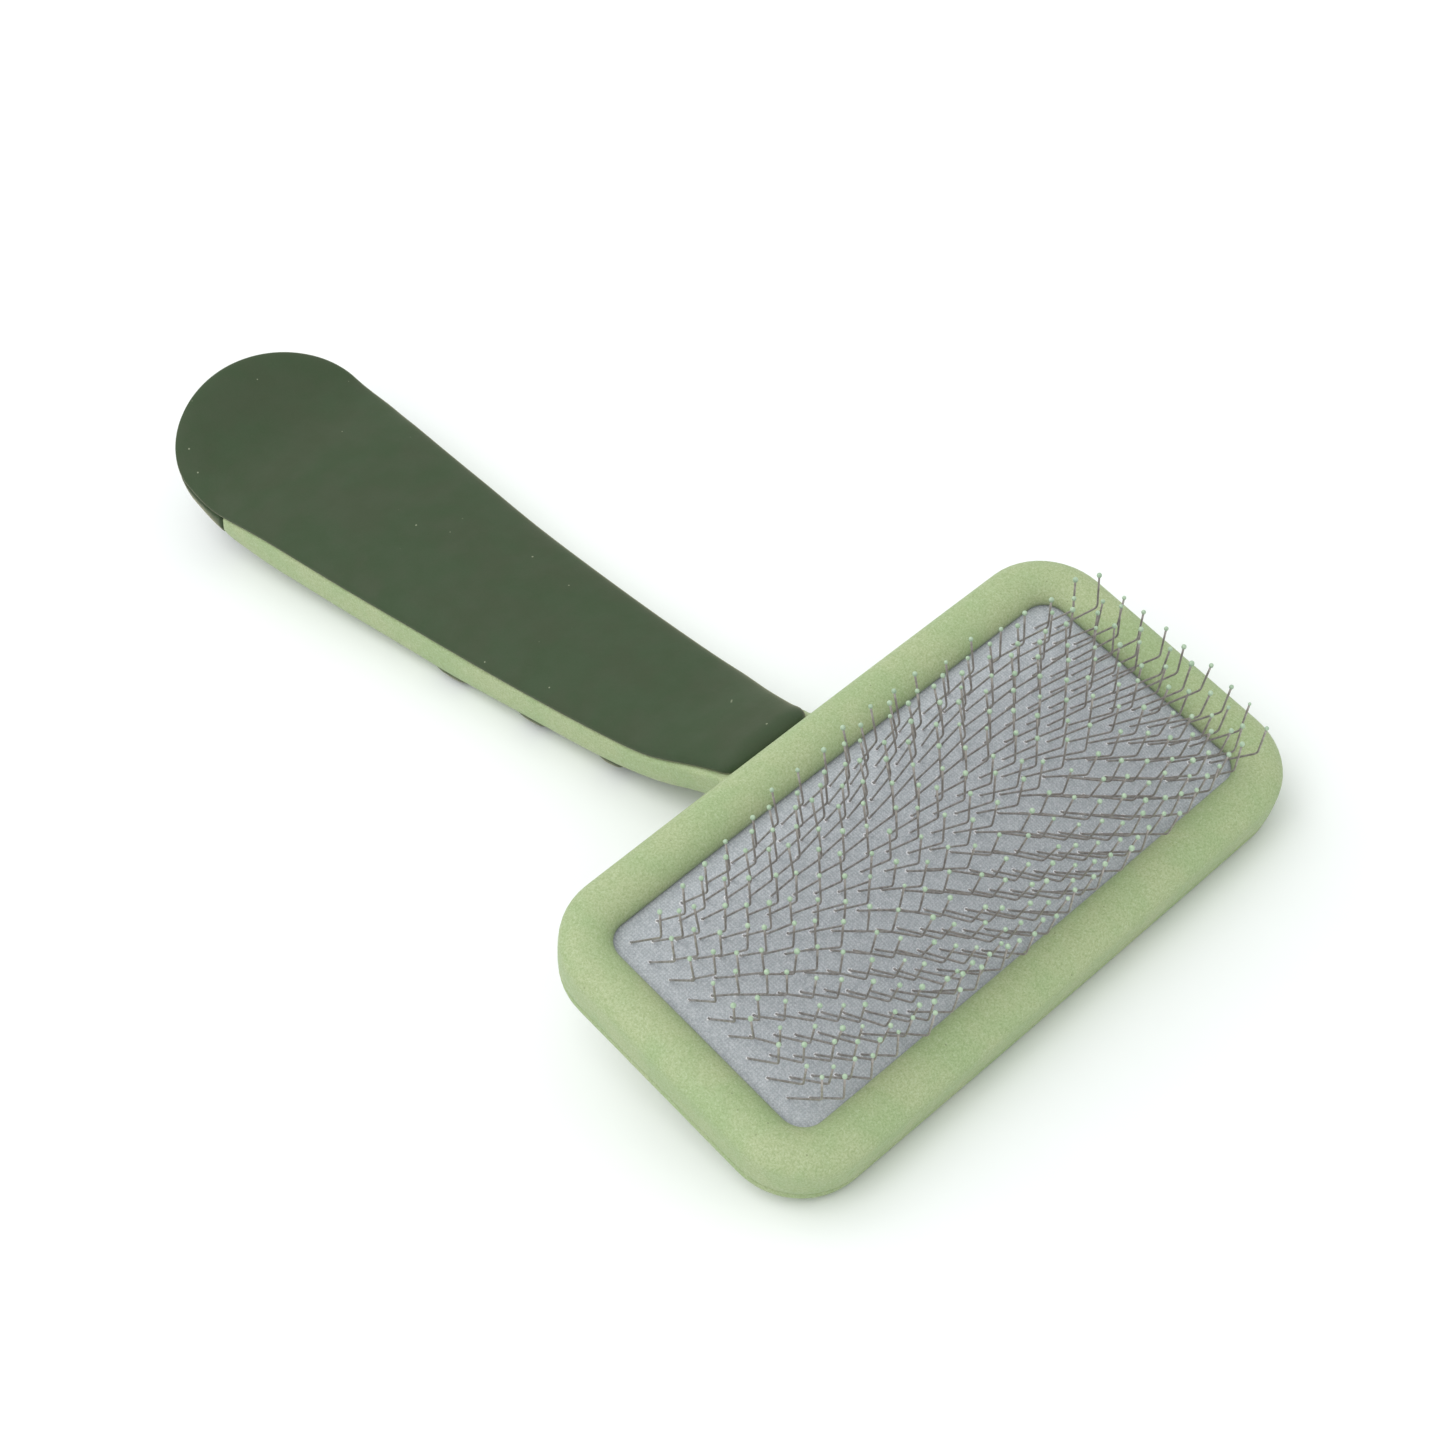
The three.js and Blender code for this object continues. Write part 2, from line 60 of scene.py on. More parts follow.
HEAD_LENGTH = 108
HEAD_WIDTH = 56.2
HEAD_CORNER = 11.6
INNER_CORNER = 3.2  # smallest corner radius of any outline inside the head
RIM_WIDTH = 7.8
RIM_CROWN = 2.4
LIP_UNDERSIDE = -0.45
SKIRT_WALL = 2.4
PARTING = -5.2  # level where the bezel meets the back shell
OPENING_X = HEAD_WIDTH / 2 - RIM_WIDTH
OPENING_Y = HEAD_LENGTH / 2 - RIM_WIDTH
SHELL_FLOOR = -7.4
UPSTAND_WALL = 0.6

CLOTH_EDGE = -0.8
CLOTH_THICKNESS = 1.2
CLOTH_DOME = 2.6
DOME_POWER = 2.56
FOAM_DROP = 1.1  # from the cloth's underside to the foam

ROW_COUNT = 18
PINS_PER_ROW = 18
ROW_SPACING = 2.0
ROW_SHIFT = -0.45
PIN_SPACING = 4.94
KNEE = (5.6, 9.2)  # lean and rise of each wire's bend, from where it leaves the cloth
TIP = (5.15, 15.38)
WIRE_TURN = (0.35, 0.26)  # the most that the wires fan out, in the handle's half and in the far half
WIRE_TURN_AT = (0.7, 0.45)  # where they do so, as a share of the way to the rim
WIRE_FADE = (1.3, 3)  # power with which the fan closes again towards the pad's short ends
WIRE_TILT = (0.16, 0.07)  # how far they lean outwards at the pad's -Y and +Y ends
WIRE_SWING = (0, 0.5)  # how far they swing outwards there, in plan

TAIL_FOCUS = -165  # where the handle is widest and its round end begins
TAIL_LENGTH = 12.75
TAIL_HALF_WIDTH = 19.1
TAIL_POWER = 1.96
BACK_ROUNDING = 4
DEEP_ROUNDING_END = -163  # towards the tail the rounding takes up the whole depth
EVEN_ROUNDING_START = -143
SEAM_BAND = 0.5  # upright band left between the seam and the deepest rounding
GRIP_END = -33
GRIP_END_ROUNDING = 5
GRIP_END_MARGIN = 0.9
GRIP_NARROWS = -52
GRIP_CROWN = 3
CROWN_POWER = 2.6
NECK_END = -1
SEAM_X = -156  # where the tail cup of the back grip ends
SEAM_LEAN = -0.35
PANEL_MARGIN = 5
PANEL_END = -53
RIBS = [(-101, 7), (-81.3, 6), (-62.7, 5)]  # middle and length of each
RIB_HEIGHT = 0.8

# Lines of the handle's side view and plan, as places along X and heights or half widths there
HALF_WIDTH_LINE = [(-165, TAIL_HALF_WIDTH), (-158, 19.4), (-150, 18.7), (-140, 17.8), (-125, 16.6),
                   (-108, 15.1), (-85, 13.5), (-65, 12.1), (-52, 11.1), (-42, 9.9), (-34, 9.6),
                   (-26, 11.2), (-16, 12.2), (-8, 10), (NECK_END, 6)]
SEAM_LINE = [(-178, 21.4), (-172, 17.2), (-166, 13.75), (-160, 11.8), (-153, 11.4), (-145, 11.3),
             (-130, 10.5), (-108, 9.65), (-85, 9.6), (-65, 10.35), (-52, 11.65), (-42, 14.2), (-38, 15.3),
             (-34, 16.4), (-26, 17.7), (NECK_END, 17.5)]
UNDERSIDE_LINE = [(-178, 13.2), (-172, 9.2), (-165, 6.1), (-158, 4.3), (-150, 3), (-125, 1.65),
                  (-105, RIB_HEIGHT), (-97, RIB_HEIGHT), (-85, 1.3), (-65, 2.2), (-52, 4.2), (-42, 7),
                  (-34, 8.4), (-24, 9), (-14, 8.9), (-6, 8.1), (NECK_END, 7.5)]


def curve_through(points):
    """A smooth line through the points, read as a height at any X."""
    last = len(points) - 1
    steps = 12
    xs, zs = [], []
    for i in range(last):
        near = [points[max(i - 1, 0)], points[i], points[i + 1], points[min(i + 2, last)]]
        for step in range(steps):
            t = step / steps
            for axis, values in ((0, xs), (1, zs)):
                p0, p1, p2, p3 = (point[axis] for point in near)
                v0 = (p2 - p0) / 2
                v1 = (p3 - p1) / 2
                values.append((2 * p1 - 2 * p2 + v0 + v1) * t ** 3
                              + (-3 * p1 + 3 * p2 - 2 * v0 - v1) * t ** 2 + v0 * t + p1)
    xs.append(points[last][0])
    zs.append(points[last][1])
    return lambda x: float(np.interp(x, xs, zs))


half_width_at = curve_through(HALF_WIDTH_LINE)
seam_at = curve_through(SEAM_LINE)
underside_at = curve_through(UNDERSIDE_LINE)


def clamped(value):
    """The value, kept between 0 and 1."""
    return min(max(value, 0), 1)


def rounding_at(x):
    """Height of the back's rounded edge: all of the depth in the tail, less along the straight part."""
    depth = seam_at(x) - underside_at(x) - SEAM_BAND
    t = clamped((x - DEEP_ROUNDING_END) / (EVEN_ROUNDING_START - DEEP_ROUNDING_END))
    even = t * t * (3 - 2 * t)
    return depth + (BACK_ROUNDING - depth) * even


# ---------------------------------------------------------------- mesh tools


def loft(rings, closed_loop=False, cap=None):
    """Points and faces of a skin over rings that all have the same number of points.

    A fan closes both ends round a middle point. A ladder closes them with rungs, for rings whose
    second half mirrors the first.
    """
    count = len(rings[0])
    points = [Vector(p) for ring in rings for p in ring]
    faces = []
    bands = len(rings) if closed_loop else len(rings) - 1
    for k in range(bands):
        low = k * count
        high = ((k + 1) % len(rings)) * count
        for i in range(count):
            j = (i + 1) % count
            faces.append((low + i, low + j, high + j, high + i))
    ends = (0, (len(rings) - 1) * count)
    if cap == "fan":
        for start in ends:
            ring = range(start, start + count)
            middle = len(points)
            points.append(sum((points[i] for i in ring), Vector()) / count)
            faces += [(start + i, start + (i + 1) % count, middle) for i in range(count)]
    if cap == "ladder":
        for start in ends:
            for i in range(count // 2 - 1):
                faces.append((start + i, start + i + 1, start + count - 2 - i, start + count - 1 - i))
    return points, faces


def add_mesh(work, points, faces, place):
    """Add points and faces to a mesh that is being built, moved to their place and in metres."""
    made = [work.verts.new((place @ p) * MM) for p in points]
    for face in faces:
        work.faces.new([made[i] for i in face])


def object_from(name, work):
    """An object that takes over a mesh that was being built."""
    bmesh.ops.recalc_face_normals(work, faces=work.faces)
    mesh = bpy.data.meshes.new(name)
    work.to_mesh(mesh)
    work.free()
    made = bpy.data.objects.new(name, mesh)
    bpy.context.scene.collection.objects.link(made)
    return made


def as_object(name, points, faces, place=Matrix()):
    """An object of one set of points and faces."""
    work = bmesh.new()
    add_mesh(work, points, faces, place)
    return object_from(name, work)


def apply_modifiers(target):
    """Keep the mesh that an object's modifiers make."""
    graph = bpy.context.evaluated_depsgraph_get()
    mesh = bpy.data.meshes.new_from_object(target.evaluated_get(graph))
    target.modifiers.clear()
    target.data = mesh
    return target


def cut(target, tool, operation):
    """Combine two closed objects; the tool goes away."""
    change = target.modifiers.new(operation, "BOOLEAN")
    change.operation = operation
    change.object = tool
    change.solver = "EXACT"
    apply_modifiers(target)
    bpy.data.objects.remove(tool)
    return target


def fuse(target, others, voxel, rounds):
    """Melt closed objects into one skin, as one moulding, and smooth its edges."""
    work = bmesh.new()
    work.from_mesh(target.data)
    for other in others:
        work.from_mesh(other.data)
        bpy.data.objects.remove(other)
    work.to_mesh(target.data)
    work.free()
    remesh = target.modifiers.new("remesh", "REMESH")
    remesh.mode = "VOXEL"
    remesh.voxel_size = voxel * MM
    smooth = target.modifiers.new("smooth", "SMOOTH")
    smooth.factor = 0.5
    smooth.iterations = rounds
    return apply_modifiers(target)


def finish_piece(piece, material, nodes=()):
    """Smooth shading, its material, and its place on the frame."""
    piece.data.materials.clear()
    piece.data.materials.append(material)
    piece.data.shade_smooth()
    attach(piece, "root")
    if nodes:
        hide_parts(*nodes)
    return piece


# ---------------------------------------------------------------- head outlines and pad dome

SIDE_BOW = 0.25  # the head's long sides bow out this much
CORNER_STEPS = 12
SHORT_SIDE_STEPS = 26
LONG_SIDE_STEPS = 12


def head_ring(inset, level):
    """The head's outline drawn in by some inset, as a ring at one level."""
    radius = max(HEAD_CORNER - inset, INNER_CORNER)
    corner_x = HEAD_WIDTH / 2 - inset - radius
    corner_y = HEAD_LENGTH / 2 - inset - radius

    def corner_point(sign_x, sign_y, quarters):
        angle = quarters * math.pi / 2
        return Vector((sign_x * corner_x + radius * math.cos(angle),
                       sign_y * corner_y + radius * math.sin(angle), level))

    corners = [(1, 1), (-1, 1), (-1, -1), (1, -1)]
    ring = []
    for corner, signs in enumerate(corners):
        ring += [corner_point(*signs, corner + step / CORNER_STEPS) for step in range(CORNER_STEPS + 1)]
        side_steps = LONG_SIDE_STEPS if corner % 2 else SHORT_SIDE_STEPS
        start = ring[-1]
        end = corner_point(*corners[(corner + 1) % 4], corner + 1)
        ring += [start.lerp(end, step / side_steps) for step in range(1, side_steps)]
    for p in ring:
        p.x += math.copysign(SIDE_BOW * (1 - (p.y / (HEAD_LENGTH / 2)) ** 2), p.x)
    return ring


def drawn_in(ring, share, level_at):
    """A ring shrunk towards the head's middle by a share, at a level for each of its points."""
    shrunk = [(p.x * (1 - share), p.y * (1 - share)) for p in ring]
    return [Vector((x, y, level_at(x, y))) for x, y in shrunk]


def dome_at(x, y):
    """Rise of the cushioned pad over its own edge."""
    across = min(abs(x) / OPENING_X, 1)
    along = min(abs(y) / OPENING_Y, 1)
    return CLOTH_DOME * (1 - across ** 2) * (1 - along ** DOME_POWER)


# ---------------------------------------------------------------- materials


class Nodes:
    """Short ways to add nodes to one material."""

    def __init__(self, name):
        self.material = bpy.data.materials.new(name)
        self.material.use_nodes = True
        self.tree = self.material.node_tree
        self.shader = self.tree.nodes["Principled BSDF"]
        self.place = self.tree.nodes.new("ShaderNodeTexCoord").outputs["Object"]

    def set(self, **values):
        """Fixed inputs of the shader, with underscores for the spaces in their names."""
        for key, value in values.items():
            self.shader.inputs[key.replace("_", " ")].default_value = value

    def link(self, output, name):
        self.tree.links.new(output, self.shader.inputs[name])

    def mapped(self, **values):
        """Places in the object, moved or turned."""
        made = self.tree.nodes.new("ShaderNodeMapping")
        for key, value in values.items():
            made.inputs[key].default_value = value
        self.tree.links.new(self.place, made.inputs["Vector"])
        return made.outputs["Vector"]

    def noise(self, size, detail=2.0, rough=0.5, place=None):
        made = self.tree.nodes.new("ShaderNodeTexNoise")
        made.inputs["Scale"].default_value = 1 / (size * MM)
        made.inputs["Detail"].default_value = detail
        made.inputs["Roughness"].default_value = rough
        self.tree.links.new(place or self.place, made.inputs["Vector"])
        return made.outputs["Fac"]

    def clouds(self, size, detail=2.0, rough=0.5):
        """Soft patches that use the whole range from 0 to 1."""
        return self.ranged(self.noise(size, detail, rough), 0.35, 0.65, 0, 1)

    def cells(self, size):
        made = self.tree.nodes.new("ShaderNodeTexVoronoi")
        made.inputs["Scale"].default_value = 1 / (size * MM)
        self.tree.links.new(self.place, made.inputs["Vector"])
        return made.outputs["Distance"]

    def specks(self, spacing, edge, patch_size, patch_edge, strength):
        """Small spots, in patches only; each edge is the range of values over which one fades."""
        spots = self.ranged(self.cells(spacing), *edge, 1, 0)
        patches = self.ranged(self.noise(patch_size, 1), *patch_edge, 0, 1)
        return self.maths("MULTIPLY", self.maths("MULTIPLY", spots, patches), strength)

    def waves(self, pitch, axis, place):
        made = self.tree.nodes.new("ShaderNodeTexWave")
        made.bands_direction = axis
        made.inputs["Scale"].default_value = math.pi / (10 * pitch * MM)
        made.inputs["Distortion"].default_value = 0.6
        made.inputs["Detail"].default_value = 1
        made.inputs["Detail Scale"].default_value = 2
        self.tree.links.new(place, made.inputs["Vector"])
        return made.outputs["Fac"]

    def ranged(self, value, low, high, to_low, to_high):
        """The value stretched from one range to another, easing in and out."""
        made = self.tree.nodes.new("ShaderNodeMapRange")
        made.interpolation_type = "SMOOTHSTEP"
        self.tree.links.new(value, made.inputs["Value"])
        limits = {"From Min": low, "From Max": high, "To Min": to_low, "To Max": to_high}
        for name, number in limits.items():
            made.inputs[name].default_value = number
        return made.outputs["Result"]

    def maths(self, operation, a, b):
        made = self.tree.nodes.new("ShaderNodeMath")
        made.operation = operation
        for socket, value in zip(made.inputs, (a, b)):
            if isinstance(value, (int, float)):
                socket.default_value = value
            else:
                self.tree.links.new(value, socket)
        return made.outputs["Value"]

    def mixed(self, amount, a, b):
        """Colour A where the amount is 0, B where it is 1; each is a colour or another output."""
        made = self.tree.nodes.new("ShaderNodeMix")
        made.data_type = "RGBA"
        self.tree.links.new(amount, made.inputs["Factor"])
        for socket, value in ((made.inputs[6], a), (made.inputs[7], b)):
            if isinstance(value, tuple):
                socket.default_value = (*value, 1)
            else:
                self.tree.links.new(value, socket)
        return made.outputs[2]

    def bump(self, height, depth, strength=1.0, under=None):
        made = self.tree.nodes.new("ShaderNodeBump")
        made.inputs["Distance"].default_value = depth * MM
        made.inputs["Strength"].default_value = strength
        self.tree.links.new(height, made.inputs["Height"])
        if under is not None:
            self.tree.links.new(under, made.inputs["Normal"])
        return made.outputs["Normal"]


def green_plastic():
    """Pale green moulded plastic: spark-eroded grain, cloudy colour, a few dark specks."""
    cool, warm = (0.34, 0.437, 0.228), (0.405, 0.464, 0.264)
    hollow, scuffed, dark = (0.24, 0.315, 0.135), (0.5, 0.57, 0.37), (0.15, 0.16, 0.075)
    n = Nodes("green_plastic")
    colour = n.mixed(n.clouds(9, 3, 0.6), cool, warm)
    grain = n.noise(0.3, 3, 0.75)
    colour = n.mixed(n.ranged(grain, 0.36, 0.6, 0.65, 0), colour, hollow)
    scuffs = n.noise(0.36, 4, 0.75, n.mapped(Location=(11, 0, 0)))
    colour = n.mixed(n.ranged(scuffs, 0.5, 0.66, 0, 0.5), colour, scuffed)
    colour = n.mixed(n.specks(2.0, (0.04, 0.1), 4, (0.5, 0.6), 0.55), colour, dark)
    n.link(colour, "Base Color")
    n.link(n.ranged(n.noise(1.2, 3), 0.3, 0.7, 0.48, 0.64), "Roughness")
    n.link(n.bump(grain, 0.06, 0.6, n.bump(n.noise(2.5, 2), 0.06, 0.4)), "Normal")
    n.set(Specular_IOR_Level=0.35)
    return n.material


def soft_grip():
    """Dark green soft-touch rubber: matte and even, with a little dust on it."""
    green, brownish = (0.0405, 0.0675, 0.0315), (0.0465, 0.0655, 0.034)
    pale, dust = (0.055, 0.077, 0.043), (0.36, 0.39, 0.27)
    n = Nodes("soft_grip")
    colour = n.mixed(n.clouds(11, 4, 0.65), green, brownish)
    grain = n.noise(0.35, 3, 0.6)
    colour = n.mixed(n.ranged(grain, 0.3, 0.7, 0, 0.22), colour, pale)
    colour = n.mixed(n.specks(3.4, (0.035, 0.06), 9, (0.47, 0.55), 0.6), colour, dust)
    n.link(colour, "Base Color")
    n.link(n.ranged(n.noise(5, 3), 0.3, 0.7, 0.66, 0.8), "Roughness")
    n.link(n.bump(grain, 0.03, 0.5, n.bump(n.noise(6, 2), 0.06, 0.25)), "Normal")
    n.set(Specular_IOR_Level=0.22, Sheen_Weight=0.7, Sheen_Roughness=0.3, Sheen_Tint=(0.75, 0.68, 0.5, 1))
    return n.material


def pad_cloth():
    """Grey laminated cloth: fine threads both ways under a fibrous, mottled face."""
    grey, pale_grey = (0.39, 0.423, 0.45), (0.445, 0.48, 0.505)
    between_threads, fibre = (0.28, 0.285, 0.315), (0.7, 0.71, 0.74)
    thread_pitch = 0.42
    n = Nodes("pad_cloth")
    flat = n.mapped(Rotation=(0, -HEAD_TILT, 0))
    threads = n.maths("MULTIPLY", n.waves(thread_pitch, "X", flat), n.waves(thread_pitch, "Y", flat))
    fibres = n.noise(0.36, 4, 0.85)
    cloud = n.clouds(2.2, 3, 0.6)
    colour = n.mixed(cloud, grey, pale_grey)
    colour = n.mixed(n.ranged(threads, 0, 0.7, 0.45, 0), colour, between_threads)
    colour = n.mixed(n.ranged(fibres, 0.42, 0.66, 0, 0.55), colour, fibre)
    n.link(colour, "Base Color")
    n.link(n.ranged(cloud, 0, 1, 0.8, 0.95), "Roughness")
    n.link(n.bump(threads, 0.06, 0.5, n.bump(fibres, 0.08, 0.5)), "Normal")
    n.set(Specular_IOR_Level=0.25, Sheen_Weight=0.15, Sheen_Roughness=0.5)
    return n.material


def pad_foam():
    """Pale foam rubber with small open cells."""
    pale, pore = (0.62, 0.6, 0.55), (0.4, 0.38, 0.34)
    n = Nodes("pad_foam")
    pores = n.ranged(n.cells(0.7), 0.1, 0.45, 1, 0)
    n.link(n.mixed(pores, pale, pore), "Base Color")
    n.link(n.ranged(pores, 0, 1, 0.85, 0.95), "Roughness")
    n.link(n.bump(pores, -0.2, 0.7), "Normal")
    return n.material


def pin_wire():
    """Drawn steel wire, brownish and darker where it has dulled."""
    bright, dulled = (0.41, 0.375, 0.35), (0.28, 0.255, 0.235)
    n = Nodes("pin_wire")
    dull = n.clouds(1.1, 3, 0.6)
    n.link(n.mixed(dull, bright, dulled), "Base Color")
    n.link(n.ranged(dull, 0, 1, 0.3, 0.5), "Roughness")
    n.link(n.bump(n.noise(0.12, 2), 0.01, 0.4), "Normal")
    n.set(Metallic=0.5)
    return n.material


def tip_ball():
    """Pale green plastic drops that cap the wires."""
    green, pale_green = (0.33, 0.455, 0.315), (0.42, 0.54, 0.39)
    n = Nodes("tip_ball")
    cloud = n.clouds(0.6)
    n.link(n.mixed(cloud, green, pale_green), "Base Color")
    n.link(n.ranged(cloud, 0, 1, 0.3, 0.45), "Roughness")
    n.link(n.bump(n.noise(0.3, 2), 0.02, 0.3), "Normal")
    return n.material


def foot_highlight():
    """Near-white rings where each wire comes out of the cloth: a painted highlight."""
    # grey and white paint the highlight where each wire leaves the cloth
    grey, white = (0.5, 0.51, 0.54), (0.85, 0.85, 0.87)
    n = Nodes("foot_highlight")
    cloud = n.clouds(0.25)
    n.link(n.mixed(cloud, grey, white), "Base Color")
    n.link(n.ranged(cloud, 0, 1, 0.6, 0.8), "Roughness")
    n.link(n.bump(cloud, 0.05, 0.6), "Normal")
    return n.material


def pale_floor():
    """Even, nearly white studio paper."""
    cool, warm = (0.88, 0.895, 0.89), (0.9, 0.915, 0.91)
    n = Nodes("pale_floor")
    n.link(n.mixed(n.noise(40, 2), cool, warm), "Base Color")
    n.link(n.ranged(n.noise(15, 2), 0.3, 0.7, 0.85, 0.95), "Roughness")
    n.set(Specular_IOR_Level=0.1)
    return n.material


# ---------------------------------------------------------------- head

CROWN_STEPS = 22
CLOTH_SKIN = 0.6  # depth of the cloth that is modelled, from its face down
CLOTH_RINGS = 24


def bezel(material):
    """The rim round the pad: rounded top, drafted side wall, rolled inner lip."""
    middle = RIM_WIDTH / 2
    lip = [(RIM_WIDTH - 0.25, LIP_UNDERSIDE), (RIM_WIDTH, LIP_UNDERSIDE + 0.1)]
    angles = [math.pi * step / CROWN_STEPS for step in range(1, CROWN_STEPS)]
    crown = [(middle + middle * math.cos(angle), RIM_CROWN * math.sin(angle)) for angle in angles]
    side = [(0, -0.15), (-0.04, -0.8), (-0.03, -2.0), (0, -3.4), (0.08, PARTING + 0.45),
            (0.2, PARTING + 0.15), (0.45, PARTING)]
    inside = [(SKIRT_WALL - 0.2, PARTING), (SKIRT_WALL, PARTING + 0.2), (SKIRT_WALL, LIP_UNDERSIDE - 0.1),
              (SKIRT_WALL + 0.2, LIP_UNDERSIDE)]
    rings = [head_ring(inset, level) for inset, level in lip + crown + side + inside]
    points, faces = loft(rings, closed_loop=True)
    made = as_object("bezel", points, faces, HEAD)
    return finish_piece(made, material, ["front_bezel"])


def cloth(material):
    """The cloth skin of the pad, stretched over the cushion, its edge under the bezel's lip."""
    inset = SKIRT_WALL + FIT_GAP
    edge = head_ring(inset, 0)
    under_lip = [0, 0.03, 0.06, 0.1]
    first_even = 0.14
    shares = under_lip + [first_even + (1 - first_even) * i / CLOTH_RINGS for i in range(CLOTH_RINGS)]
    rings = [drawn_in(edge, share, lambda x, y: CLOTH_EDGE + dome_at(x, y)) for share in shares]
    under = [[p - Vector((0, 0, CLOTH_SKIN)) for p in ring] for ring in rings]
    points, faces = loft(list(reversed(under)) + rings, cap="fan")
    made = as_object("pad_cloth", points, faces, HEAD)
    finish_piece(made, material, ["pin_cloth"])
    return made


def foam(material):
    """The sealed cushion under the cloth: a crowned block, its sides rounded."""
    edge = head_ring(SKIRT_WALL + UPSTAND_WALL + 2 * FIT_GAP, 0)
    bottom = SHELL_FLOOR + FIT_GAP
    top = CLOTH_EDGE - CLOTH_THICKNESS - FOAM_DROP
    sides = [(0.3, bottom), (0.02, bottom), (0, bottom + 0.4), (0, top - 0.6), (0.01, top - 0.2)]
    rings = [drawn_in(edge, share, lambda x, y: level) for share, level in sides]
    for share in [0.03, 0.08, 0.16, 0.28, 0.42, 0.56, 0.7, 0.84, 0.95]:
        rings.append(drawn_in(edge, share, lambda x, y: top + dome_at(x, y)))
    points, faces = loft(rings, cap="fan")
    made = as_object("foam_cushion", points, faces, HEAD)
    finish_piece(made, material, ["cushion_foam"])
    return made


# ---------------------------------------------------------------- wire pins

WIRE_RADIUS = 0.165
WIRE_SIDES = 8
WIRE_ROOT = 1.0  # length of wire under the cloth's face
KNEE_RADIUS = 2.3
KNEE_STEPS = 6
BALL_RADIUS = 0.37
BALL_OFFSET = 0.25  # from the wire's tip to the ball's middle
BALL_STRETCH = 1.12
HIGHLIGHT_RING_RADIUS = 0.38
HIGHLIGHT_RING_SIDES = 10
PIN_REACH = PIN_SPACING * (PINS_PER_ROW - 0.5) / 2

# Spread of the small faults: angles, shares of a length or a size, and the foot's place in X and Y
TURN_FAULT = 0.022
SWING_FAULT = 0.03
TILT_FAULT = 0.018
TIP_FAULT = 0.012
LENGTH_FAULT = 0.015
FOOT_FAULT = (0.08, 0.1)
BALL_FAULT = 0.09
HIGHLIGHT_RING_FAULT = 0.15


def row_x(row):
    """Where one row of pins stands across the head."""
    return (row - (ROW_COUNT - 1) / 2) * ROW_SPACING + ROW_SHIFT


def pin_ys(row):
    """Where its pins stand along the head; rows alternate by half a spacing."""
    start = -PIN_REACH + (row % 2) * PIN_SPACING / 2
    return [start + i * PIN_SPACING for i in range(PINS_PER_ROW)]


def wire_path(x, y):
    """Corner points of one bent wire, with the small faults of a hand-fed machine."""
    across = x / OPENING_X
    along = y / OPENING_Y
    half = 1 if across > 0 else 0
    end = 1 if along > 0 else 0
    fade = 1 - abs(along) ** WIRE_FADE[half]
    fan = WIRE_TURN[half] * math.sin(math.pi / 2 * across / WIRE_TURN_AT[half]) * fade
    ending = along ** 3 * (1 - across ** 2)
    turn = fan + rng.gauss(0, TURN_FAULT)
    swing = Matrix.Rotation(rng.gauss(0, SWING_FAULT) + WIRE_SWING[end] * ending, 3, "Z")
    sideways = Matrix.Rotation(rng.gauss(0, TILT_FAULT) - WIRE_TILT[end] * ending, 3, "X")
    stretch = 1 + rng.gauss(0, LENGTH_FAULT)
    foot = Vector((x + rng.gauss(0, FOOT_FAULT[0]), y + rng.gauss(0, FOOT_FAULT[1]), 0))
    foot.z = CLOTH_EDGE + dome_at(foot.x, foot.y)
    lean = Matrix.Rotation(turn, 3, "Y")
    knee = foot + swing @ (sideways @ (lean @ Vector((KNEE[0], 0, KNEE[1])))) * stretch
    tip_lean = Matrix.Rotation(turn + rng.gauss(0, TIP_FAULT), 3, "Y")
    tip = foot + swing @ (sideways @ (tip_lean @ Vector((TIP[0], 0, TIP[1])))) * stretch
    return foot, knee, tip


def rounded_path(foot, knee, tip):
    """The wire's centre line from under the cloth, with the knee rounded."""
    into = (knee - foot).normalized()
    out = (tip - knee).normalized()
    bend = into.angle(out)
    back = KNEE_RADIUS * math.tan(bend / 2)
    start = knee - into * back
    end = knee + out * back
    path = [foot - into * WIRE_ROOT, foot.copy(), foot.lerp(start, 0.5)]
    for step in range(KNEE_STEPS + 1):
        t = step / KNEE_STEPS
        path.append(start.lerp(knee, t).lerp(knee.lerp(end, t), t))
    path += [end.lerp(tip, 0.5), tip]
    return path


def full_turn(steps):
    """Even angles once round a circle."""
    return [2 * math.pi * k / steps for k in range(steps)]


def tube(path, radius, sides):
    """Points and faces of a round tube along a path."""
    side = (path[1] - path[0]).cross(path[-1] - path[-2]).normalized()
    rings = []
    for i, p in enumerate(path):
        ahead = (path[min(i + 1, len(path) - 1)] - path[max(i - 1, 0)]).normalized()
        up = ahead.cross(side).normalized()
        across = up.cross(ahead).normalized()
        rings.append([p + (across * math.cos(a) + up * math.sin(a)) * radius for a in full_turn(sides)])
    return loft(rings, cap="fan")


def add_ball(work, centre, radius, axis):
    """A slightly drop-shaped ball, longer along its axis."""
    turn = axis.to_track_quat("Z", "Y").to_matrix().to_4x4()
    place = Matrix.Translation(HEAD @ centre * MM) @ turn @ Matrix.Diagonal((1, 1, BALL_STRETCH, 1))
    bmesh.ops.create_icosphere(work, subdivisions=2, radius=radius * MM, matrix=place)


def highlight_ring(foot):
    """A low ring round a wire's foot, the shape that carries the painted highlight there."""
    size = HIGHLIGHT_RING_RADIUS * (1 + rng.gauss(0, HIGHLIGHT_RING_FAULT))
    profile = [(1.0, -0.1), (0.9, 0.08), (0.7, 0.18), (0.5, 0.18), (0.4, -0.1)]
    rings = []
    for reach, level in profile:
        rings.append([foot + Vector((size * reach * math.cos(a), size * reach * math.sin(a), level))
                      for a in full_turn(HIGHLIGHT_RING_SIDES)])
    return loft(rings, closed_loop=True)


